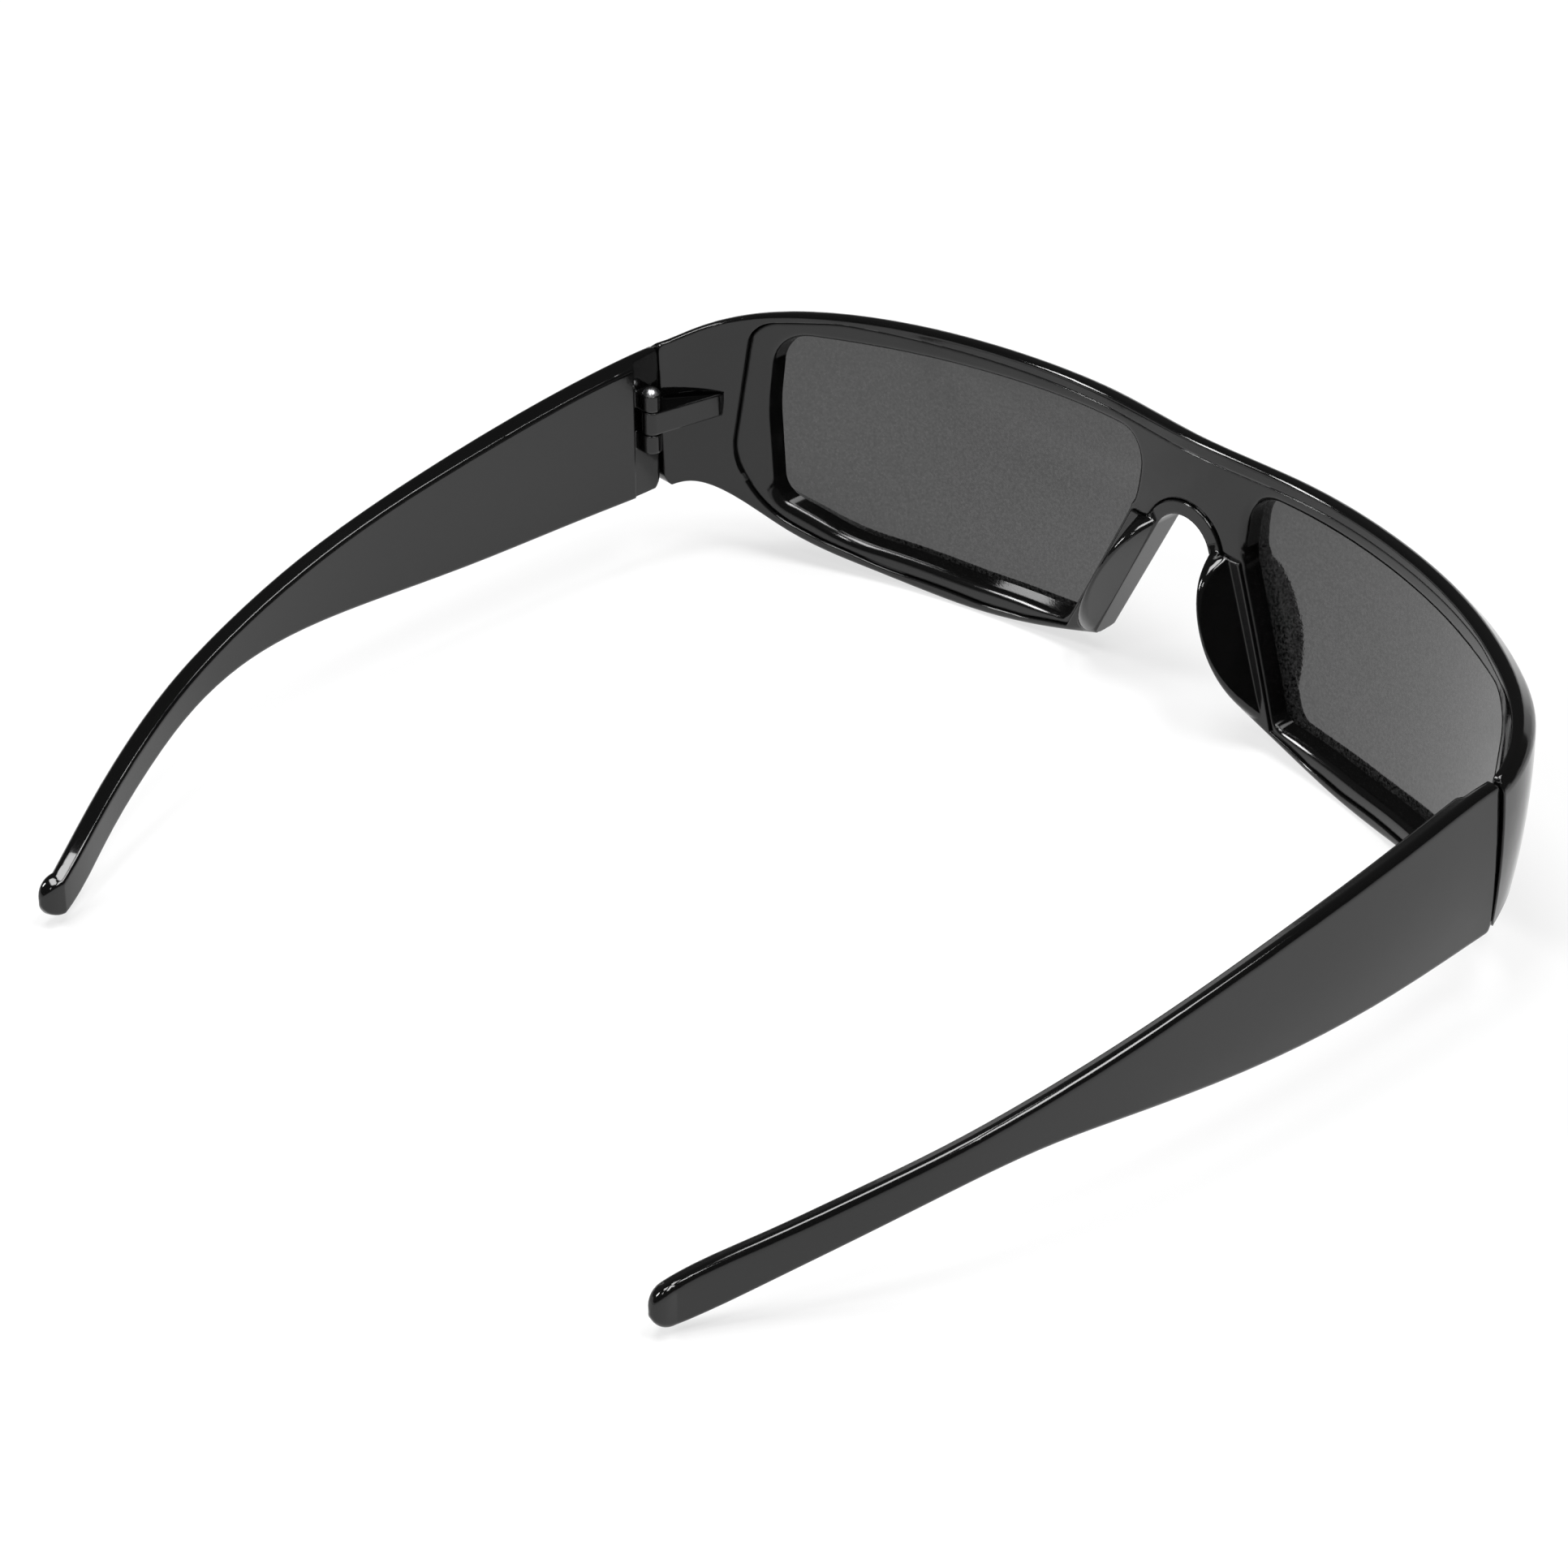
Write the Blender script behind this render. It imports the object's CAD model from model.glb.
"""Looks of the wraparound eclipse glasses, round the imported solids. Metres, in the solids' frame."""

from math import cos, radians, sin

import bmesh
import bpy
from mathutils import Matrix, Vector
from mathutils.bvhtree import BVHTree


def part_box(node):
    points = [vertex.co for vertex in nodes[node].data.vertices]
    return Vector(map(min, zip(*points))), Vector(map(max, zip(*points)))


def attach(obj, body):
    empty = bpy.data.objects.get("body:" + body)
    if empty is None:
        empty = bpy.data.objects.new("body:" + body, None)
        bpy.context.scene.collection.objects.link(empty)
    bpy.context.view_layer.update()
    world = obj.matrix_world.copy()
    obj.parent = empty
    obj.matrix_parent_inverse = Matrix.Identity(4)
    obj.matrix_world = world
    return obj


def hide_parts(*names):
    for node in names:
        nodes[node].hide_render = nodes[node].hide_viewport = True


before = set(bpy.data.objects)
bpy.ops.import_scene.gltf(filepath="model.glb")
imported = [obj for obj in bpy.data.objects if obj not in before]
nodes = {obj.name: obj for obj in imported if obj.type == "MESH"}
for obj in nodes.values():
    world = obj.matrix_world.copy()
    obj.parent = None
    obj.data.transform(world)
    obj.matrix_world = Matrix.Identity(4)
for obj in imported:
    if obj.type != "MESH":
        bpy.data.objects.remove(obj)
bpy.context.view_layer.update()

# Camera that took the photograph, as fitted to it
CAMERA_AT = Vector((-0.43443, 0.39940, 0.38444))
CAMERA_AZIMUTH = radians(227.524)
CAMERA_ELEVATION = radians(32.107)
CAMERA_ROLL = radians(-0.217)
CAMERA_LENS = 136.19
CAMERA_SENSOR = 36.0
CAMERA_SHIFT = (-0.00195, 0.00111)
CAMERA_CLIP = (0.01, 50.0)

# Studio: a dim room, a pale table with a low cove round it, and lamps at one distance
ROOM_GREY = (0.08, 0.08, 0.08)
FLOOR_RADIUS = 3.0
FLOOR_SIDES = 96
FLOOR_DROP = 0.0002
FLOOR_DARK = (0.89, 0.89, 0.89)
FLOOR_LIGHT = (0.91, 0.91, 0.91)
FLOOR_WHITENESS = 0.7
COVE_HEIGHT = 0.6
COVE_WIDTH = 0.5
LAMP_DISTANCE = 1.3

# Part of a normal along y: over the first on the retainer's rear face, under the second on its walls
REAR_FACING = 0.5
WALL_FACING = 0.2

# Points along the retainer's window rims, and how many of them on each side give the rim's direction
RIM_STEP = 0.0007
RIM_TANGENT_REACH = 2

# Radius of the rounding. The rear face beside a rim is measured as far as the first share of it, and
# the rounding takes no more than the second share of what is found, evened over its neighbours
RIM_RADIUS = 0.0011
RIM_MEASURED_SHARE = 1.3
RIM_TAKEN_SHARE = 0.75
RIM_PROBE_STEP = RIM_RADIUS / 10
RIM_EVENING_REACH = 5

# Curve of the rounding. The cutter stands past the retainer's surfaces by the margin, and at the ends
# of the curve by the last value
RIM_ARC_STEPS = 8
RIM_CORNER_WEIGHT = 0.72
CUTTER_MARGIN = 0.0005
PIERCE = 0.000004

# Rays that find the rear face start this far behind a rim and run forward
PROBE_START = Vector((0, 0.1, 0))
FORWARD = Vector((0, -1, 0))

# How far the filters come back for each metre below their top
FILTER_LEAN = 0.075

# Points of the retainer closer than this are one, and its faces and the filters' keep an edge past
# this angle
WELD_DISTANCE = 0.000002
SHARP_ANGLE = radians(30)

# Strips narrower than this are parts of a rounding, whose faces turn by less than this angle.
# Corners in the same place, to this fineness, meet
STRIP_WIDTH = 0.0007
ROUND_ANGLE = radians(60)
PLACE_FINENESS = 0.000005

# Most values of a noise lie between these
NOISE_LOW = 0.3
NOISE_HIGH = 0.7

# The two ends of the black plastics' colour, and the depth of every bump
PLASTIC_DARK = (0.0015, 0.0015, 0.0015)
PLASTIC_LIGHT = (0.0035, 0.0035, 0.0035)
BUMP_DEPTH = 0.00002


def new_object(name, data):
    """An object for a mesh, lamp or camera, in the scene's collection."""
    made = bpy.data.objects.new(name, data)
    bpy.context.scene.collection.objects.link(made)
    return made


def rim_edges(mesh):
    """Edges between the retainer's rear face and the walls of its two windows."""
    low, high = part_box("left_filter_lens")
    left_centre = (Vector(low) + Vector(high)) / 2
    rims = []
    for edge in mesh.edges:
        if len(edge.link_faces) != 2:
            continue
        rear, wall = sorted(edge.link_faces, key=lambda face: -face.normal.y)
        middle = (edge.verts[0].co + edge.verts[1].co) / 2
        side = 1 if middle.x > 0 else -1
        inward = Vector((side * left_centre.x, 0, left_centre.z)) - middle
        inward.y = 0
        square = rear.normal.y > REAR_FACING and abs(wall.normal.y) < WALL_FACING
        if square and wall.normal.dot(inward) > 0:
            rims.append(edge)
    return rims


def closed_chains(edges):
    """Points along each closed chain of edges. The last point of a chain is its first."""
    chains = []
    left = list(edges)
    while left:
        edge = left.pop()
        chain = [edge.verts[0], edge.verts[1]]
        while chain[-1] != chain[0]:
            onward = [spoke for spoke in chain[-1].link_edges if spoke in left]
            if not onward:
                break
            left.remove(onward[0])
            chain.append(onward[0].other_vert(chain[-1]))
        if chain[-1] == chain[0]:
            chains.append([vert.co.copy() for vert in chain])
    return chains


def resampled(points, step):
    """Points at an even step along a closed chain whose last point is its first."""
    lengths = [(after - before).length for before, after in zip(points, points[1:])]
    total = sum(lengths)
    count = round(total / step)
    samples = []
    leg, walked = 0, 0.0
    for index in range(count):
        target = total * index / count
        while walked + lengths[leg] < target:
            walked += lengths[leg]
            leg += 1
        share = (target - walked) / lengths[leg]
        samples.append(points[leg].lerp(points[leg + 1], share))
    return samples


def rim_outward(points, index, middle):
    """Direction away from the window at a point of its rim, seen from behind."""
    along = points[(index + RIM_TANGENT_REACH) % len(points)] - points[index - RIM_TANGENT_REACH]
    outward = Vector((along.z, 0, -along.x)).normalized()
    return -outward if outward.dot(points[index] - middle) < 0 else outward


def rim_room(point, outward, surface):
    """How far the rear face is found to run on outwards from a point of the rim."""
    room = 0.0
    while room < RIM_MEASURED_SHARE * RIM_RADIUS:
        probe = point + outward * (room + RIM_PROBE_STEP) + PROBE_START
        found = surface.ray_cast(probe, FORWARD)[0]
        if found is None or abs(found.y - point.y) > RIM_RADIUS:
            break
        room += RIM_PROBE_STEP
    return room


def evened(values, index):
    """Mean of a closed list round one place, but no more than the least of the three nearest."""
    reach = RIM_EVENING_REACH
    near = [values[(index + shift) % len(values)] for shift in range(-reach, reach + 1)]
    return min(min(near[reach - 1 : reach + 2]), sum(near) / len(near))


def rim_section(point, outward, radius, surface):
    """Outline of the cutter at a point of the rim: the curve of the rounding, then three corners."""
    start = surface.ray_cast(point + outward * radius + PROBE_START, FORWARD)[0]
    start = start + Vector((0, PIERCE, 0))
    end = point - Vector((0, radius, 0)) - outward * PIERCE
    outline = []
    for step in range(RIM_ARC_STEPS + 1):
        share = step / RIM_ARC_STEPS
        weights = ((1 - share) ** 2, 2 * share * (1 - share) * RIM_CORNER_WEIGHT, share**2)
        blend = start * weights[0] + point * weights[1] + end * weights[2]
        outline.append(blend / sum(weights))
    behind = Vector((0, CUTTER_MARGIN, 0))
    outline.append(end - outward * CUTTER_MARGIN)
    outline.append(point + behind - outward * CUTTER_MARGIN)
    outline.append(start + behind)
    return outline


def rim_cutter(points, surface):
    """A closed ring whose inner side is the rounding of a window rim."""
    middle = sum(points, Vector()) / len(points)
    outwards = [rim_outward(points, index, middle) for index in range(len(points))]
    radii = []
    for point, outward in zip(points, outwards):
        radii.append(min(RIM_RADIUS, RIM_TAKEN_SHARE * rim_room(point, outward, surface)))
    cutter = bmesh.new()
    rings = []
    for index, point in enumerate(points):
        outline = rim_section(point, outwards[index], evened(radii, index), surface)
        rings.append([cutter.verts.new(place) for place in outline])
    for index, ring in enumerate(rings):
        following = rings[(index + 1) % len(rings)]
        for place in range(len(ring)):
            after = (place + 1) % len(ring)
            cutter.faces.new((ring[place], ring[after], following[after], following[place]))
    bmesh.ops.recalc_face_normals(cutter, faces=cutter.faces)
    data = bpy.data.meshes.new("rim_cutter")
    cutter.to_mesh(data)
    cutter.free()
    return new_object("rim_cutter", data)


def cut_away(piece, cutters):
    """Take the cutters away from a piece and delete them."""
    for cutter in cutters:
        cut = piece.modifiers.new("rim", "BOOLEAN")
        cut.operation = "DIFFERENCE"
        cut.solver = "EXACT"
        cut.object = cutter
    seen = piece.evaluated_get(bpy.context.evaluated_depsgraph_get())
    data = bpy.data.meshes.new_from_object(seen)
    piece.modifiers.clear()
    piece.data = data
    for cutter in cutters:
        bpy.data.objects.remove(cutter)


def shade_by_angle(mesh):
    """Smooth shading, apart from the edges where faces turn sharply."""
    mesh.shade_smooth()
    mesh.set_sharp_from_angle(angle=SHARP_ANGLE)


def rounded_retainer():
    """The retainer with its window rims rounded over, in place of the sharp one."""
    welded = bmesh.new()
    welded.from_mesh(nodes["lens_retainer"].data)
    bmesh.ops.remove_doubles(welded, verts=welded.verts, dist=WELD_DISTANCE)
    surface = BVHTree.FromBMesh(welded)
    rims = closed_chains(rim_edges(welded))
    cutters = [rim_cutter(resampled(rim, RIM_STEP), surface) for rim in rims]
    data = bpy.data.meshes.new("retainer_rounded")
    welded.to_mesh(data)
    welded.free()
    piece = new_object("retainer_rounded", data)
    cut_away(piece, cutters)
    shade_by_angle(piece.data)
    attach(piece, "front")
    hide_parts("lens_retainer")
    return piece


def raked_filter(name):
    """A filter that leans with the rear face of the front, in place of the more upright one."""
    data = nodes[name].data.copy()
    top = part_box(name)[1][2]
    for vert in data.vertices:
        vert.co.y += FILTER_LEAN * (top - vert.co.z)
    shade_by_angle(data)
    piece = new_object(name + "_raked", data)
    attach(piece, "front")
    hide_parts(name)


def surface_faces(first):
    """All faces joined to one by edges: the mesh of one surface of the solid."""
    surface, reached = [first], {first}
    for face in surface:
        for edge in face.edges:
            fresh = [other for other in edge.link_faces if other not in reached]
            surface.extend(fresh)
            reached.update(fresh)
    return surface


def narrow_corners(mesh):
    """For each face corner, whether the surface it belongs to is one narrow strip of a rounding."""
    joined = bmesh.new()
    joined.from_mesh(mesh)
    narrow = {}
    for first in joined.faces:
        if first.index in narrow:
            continue
        surface = surface_faces(first)
        area = sum(face.calc_area() for face in surface)
        rim = sum(edge.calc_length() for face in surface for edge in face.edges if edge.is_boundary)
        for face in surface:
            narrow[face.index] = 2 * area < STRIP_WIDTH * rim
    joined.free()
    return [narrow[face.index] for face in mesh.polygons for corner in face.loop_indices]


def corner_places(mesh):
    """For each face corner, its place in steps of the fineness at which places are told apart."""
    places = []
    for corner in mesh.loops:
        point = mesh.vertices[corner.vertex_index].co
        places.append(tuple(round(value / PLACE_FINENESS) for value in point))
    return places


def smoothed(name, body):
    """A moulding whose rounded edges shade as one curve, in place of the faceted one.

    Wide surfaces keep their normals. A corner of a strip takes the normal of the wide surfaces that
    meet there, or else the mean of the strips'.
    """
    data = nodes[name].data.copy()
    narrow = narrow_corners(data)
    normals = [corner.vector.copy() for corner in data.corner_normals]
    places = corner_places(data)
    meeting = {}
    for index, place in enumerate(places):
        meeting.setdefault(place, []).append(index)
    shaded = list(normals)
    for index, place in enumerate(places):
        if narrow[index]:
            own = normals[index]
            near = [other for other in meeting[place] if normals[other].angle(own, 0) < ROUND_ANGLE]
            wide = [other for other in near if not narrow[other]]
            shaded[index] = sum((normals[other] for other in wide or near), Vector()).normalized()
    data.shade_smooth()
    data.normals_split_custom_set(shaded)
    piece = new_object(name + "_smooth", data)
    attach(piece, body)
    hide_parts(name)


def new_material(name):
    """A node material with its node tree and its Principled shader."""
    material = bpy.data.materials.new(name)
    material.use_nodes = True
    return material, material.node_tree, material.node_tree.nodes["Principled BSDF"]


def add_node(tree, kind, **values):
    """A shader node with its properties or input values set by name."""
    made = tree.nodes.new(kind)
    for key, value in values.items():
        if key in made.inputs:
            made.inputs[key].default_value = value
        else:
            setattr(made, key, value)
    return made


def object_noise(tree, scale, detail=2.0):
    """Noise fixed to the object's own coordinates."""
    place = add_node(tree, "ShaderNodeTexCoord")
    noise = add_node(tree, "ShaderNodeTexNoise", Scale=scale, Detail=detail, Roughness=0.5)
    tree.links.new(place.outputs["Object"], noise.inputs["Vector"])
    return noise.outputs["Fac"]


def mapped(tree, source, low, high, from_low=NOISE_LOW, from_high=NOISE_HIGH):
    """A value remapped to a range."""
    ranged = add_node(tree, "ShaderNodeMapRange")
    ranged.inputs["From Min"].default_value = from_low
    ranged.inputs["From Max"].default_value = from_high
    ranged.inputs["To Min"].default_value = low
    ranged.inputs["To Max"].default_value = high
    tree.links.new(source, ranged.inputs["Value"])
    return ranged.outputs["Result"]


def mixed(tree, factor, dark, light):
    """A colour between two by a factor."""
    mix = add_node(tree, "ShaderNodeMix", data_type="RGBA")
    mix.inputs["A"].default_value = (*dark, 1)
    mix.inputs["B"].default_value = (*light, 1)
    tree.links.new(factor, mix.inputs["Factor"])
    return mix.outputs["Result"]


def bumped(tree, shader, height, strength, edge_radius):
    """Bump from a height over softened edges, into the shader's normal."""
    edge = add_node(tree, "ShaderNodeBevel", samples=8, Radius=edge_radius)
    bump = add_node(tree, "ShaderNodeBump", Strength=strength, Distance=BUMP_DEPTH)
    tree.links.new(edge.outputs["Normal"], bump.inputs["Normal"])
    tree.links.new(height, bump.inputs["Height"])
    tree.links.new(bump.outputs["Normal"], shader.inputs["Normal"])


def gloss_plastic(name, roughness, edge_radius):
    """Moulded gloss black plastic with faint flow marks and a very fine grain."""
    material, tree, shader = new_material(name)
    flow = object_noise(tree, scale=45.0, detail=3.0)
    grain = object_noise(tree, scale=1400.0)
    tree.links.new(mixed(tree, flow, PLASTIC_DARK, PLASTIC_LIGHT), shader.inputs["Base Color"])
    tree.links.new(mapped(tree, flow, *roughness), shader.inputs["Roughness"])
    bumped(tree, shader, grain, strength=0.12, edge_radius=edge_radius)
    shader.inputs["IOR"].default_value = 1.5
    return material


def filter_film():
    """Glossy, opaque solar filter with a fine grain."""
    material, tree, shader = new_material("solar_filter")
    grain = object_noise(tree, scale=2800.0, detail=1.0)
    haze = object_noise(tree, scale=60.0)
    speckle = mixed(tree, mapped(tree, grain, 0.0, 1.0), (0.0, 0.0, 0.0), (0.03, 0.03, 0.03))
    tree.links.new(speckle, shader.inputs["Base Color"])
    tree.links.new(mapped(tree, haze, 0.03, 0.05), shader.inputs["Roughness"])
    bumped(tree, shader, grain, strength=0.15, edge_radius=0.0001)
    shader.inputs["IOR"].default_value = 1.78
    return material


def bright_steel():
    """Turned steel of the hinge screws."""
    material, tree, shader = new_material("screw_steel")
    scratch = object_noise(tree, scale=1500.0, detail=3.0)
    turned = mixed(tree, scratch, (0.55, 0.55, 0.56), (0.75, 0.75, 0.76))
    tree.links.new(turned, shader.inputs["Base Color"])
    tree.links.new(mapped(tree, scratch, 0.22, 0.32), shader.inputs["Roughness"])
    shader.inputs["Metallic"].default_value = 1.0
    return material


def finish(piece, material):
    """Give a piece one material and no other."""
    piece.data.materials.clear()
    piece.data.materials.append(material)


def seen_directly(tree):
    """One for what the camera sees straight, in gloss or through glass, nought for other light."""
    ray = add_node(tree, "ShaderNodeLightPath")
    factor = ray.outputs["Is Camera Ray"]
    for kind in ("Is Glossy Ray", "Is Transmission Ray"):
        either = add_node(tree, "ShaderNodeMath", operation="MAXIMUM")
        tree.links.new(factor, either.inputs[0])
        tree.links.new(ray.outputs[kind], either.inputs[1])
        factor = either.outputs["Value"]
    return factor


def floor_paper():
    """Pale matt paper that shows mostly as even white, and so keeps only part of a shadow."""
    material, tree, shader = new_material("floor_white")
    speckle = object_noise(tree, scale=30.0)
    tree.links.new(mixed(tree, speckle, FLOOR_DARK, FLOOR_LIGHT), shader.inputs["Base Color"])
    shader.inputs["Roughness"].default_value = 0.9
    shader.inputs["Specular IOR Level"].default_value = 0.0
    whiteness = mapped(tree, seen_directly(tree), 0.0, FLOOR_WHITENESS, from_low=0.0, from_high=1.0)
    white = add_node(tree, "ShaderNodeEmission", Strength=1.0)
    both = add_node(tree, "ShaderNodeMixShader")
    tree.links.new(whiteness, both.inputs["Fac"])
    tree.links.new(shader.outputs["BSDF"], both.inputs[1])
    tree.links.new(white.outputs["Emission"], both.inputs[2])
    tree.links.new(both.outputs["Shader"], tree.nodes["Material Output"].inputs["Surface"])
    return material


def make_floor():
    """Table top with a low cove round it."""
    bpy.ops.mesh.primitive_circle_add(vertices=FLOOR_SIDES, radius=FLOOR_RADIUS, fill_type="NGON")
    floor = bpy.context.object
    floor.name = "floor"
    mesh = bmesh.new()
    mesh.from_mesh(floor.data)
    rim = [edge for edge in mesh.edges if edge.is_boundary]
    raised = bmesh.ops.extrude_edge_only(mesh, edges=rim)["geom"]
    spread = 1 + COVE_WIDTH / FLOOR_RADIUS
    for vert in (item for item in raised if isinstance(item, bmesh.types.BMVert)):
        vert.co = Vector((vert.co.x * spread, vert.co.y * spread, COVE_HEIGHT))
    mesh.to_mesh(floor.data)
    mesh.free()
    floor.data.materials.append(floor_paper())
    floor.location.z = -FLOOR_DROP


def make_world():
    """The dim room beyond the lamps."""
    world = bpy.data.worlds.new("studio")
    world.use_nodes = True
    bpy.context.scene.world = world
    world.node_tree.nodes["Background"].inputs["Color"].default_value = (*ROOM_GREY, 1)


def softbox(name, towards, width, height, watts, spin=0):
    """A rectangular lamp in a direction from the object, turned by degrees about the way it faces."""
    data = bpy.data.lights.new(name, "AREA")
    data.shape = "RECTANGLE"
    data.size = width
    data.size_y = height
    data.energy = watts
    lamp = new_object(name, data)
    towards = Vector(towards).normalized()
    lamp.location = towards * LAMP_DISTANCE
    facing = (-towards).to_track_quat("-Z", "Y").to_matrix()
    spun = facing @ Matrix.Rotation(radians(spin), 3, "Z")
    lamp.rotation_euler = spun.to_euler()


def make_camera():
    """The photograph's camera: place, turn, lens and framing."""
    data = bpy.data.cameras.new("camera")
    data.lens = CAMERA_LENS
    data.sensor_width = CAMERA_SENSOR
    data.shift_x, data.shift_y = CAMERA_SHIFT
    data.clip_start, data.clip_end = CAMERA_CLIP
    camera = new_object("camera", data)
    azimuth, elevation = CAMERA_AZIMUTH, CAMERA_ELEVATION
    back = Vector((sin(azimuth) * cos(elevation), -cos(azimuth) * cos(elevation), sin(elevation)))
    right = Vector((cos(azimuth), sin(azimuth), 0))
    up = back.cross(right)
    turned_right = right * cos(CAMERA_ROLL) + up * sin(CAMERA_ROLL)
    turned_up = up * cos(CAMERA_ROLL) - right * sin(CAMERA_ROLL)
    axes = Matrix((turned_right, turned_up, back)).transposed()
    camera.matrix_world = Matrix.Translation(CAMERA_AT) @ axes.to_4x4()
    bpy.context.scene.camera = camera


frame_plastic = gloss_plastic("frame_plastic", roughness=(0.05, 0.10), edge_radius=0.0004)
retainer_plastic = gloss_plastic("retainer_plastic", roughness=(0.06, 0.12), edge_radius=0.0006)
solar_filter = filter_film()
temple_plastic = gloss_plastic("temple_plastic", roughness=(0.05, 0.10), edge_radius=0.0004)
screw_steel = bright_steel()

FINISHES = {
    "front_shell": frame_plastic,
    "lens_retainer": retainer_plastic,
    "left_filter_lens": solar_filter,
    "right_filter_lens": solar_filter,
    "left_temple": temple_plastic,
    "right_temple": temple_plastic,
    "left_hinge_screw": screw_steel,
    "right_hinge_screw": screw_steel,
}
MOULDING_BODIES = {
    "front_shell": "front",
    "left_temple": "left_temple",
    "right_temple": "right_temple",
}

# The copies of meshes made after this keep their materials, and only the retainer's mesh is new
for name, material in FINISHES.items():
    finish(nodes[name], material)
finish(rounded_retainer(), retainer_plastic)
for name in ("left_filter_lens", "right_filter_lens"):
    raked_filter(name)
for name, body in MOULDING_BODIES.items():
    smoothed(name, body)

make_floor()
make_world()
softbox("key", (0.56, 0.57, 0.60), width=0.18, height=0.42, watts=8.0)
softbox("overhead", (0.10, 0.12, 0.98), width=0.45, height=0.45, watts=8.5)
softbox("rim", (-0.28, -0.11, 0.95), width=0.80, height=0.26, watts=10.0, spin=31)
softbox("kick", (-0.19, 0.53, 0.83), width=0.12, height=0.12, watts=1.2)
make_camera()
bpy.context.scene.view_settings.view_transform = "Standard"
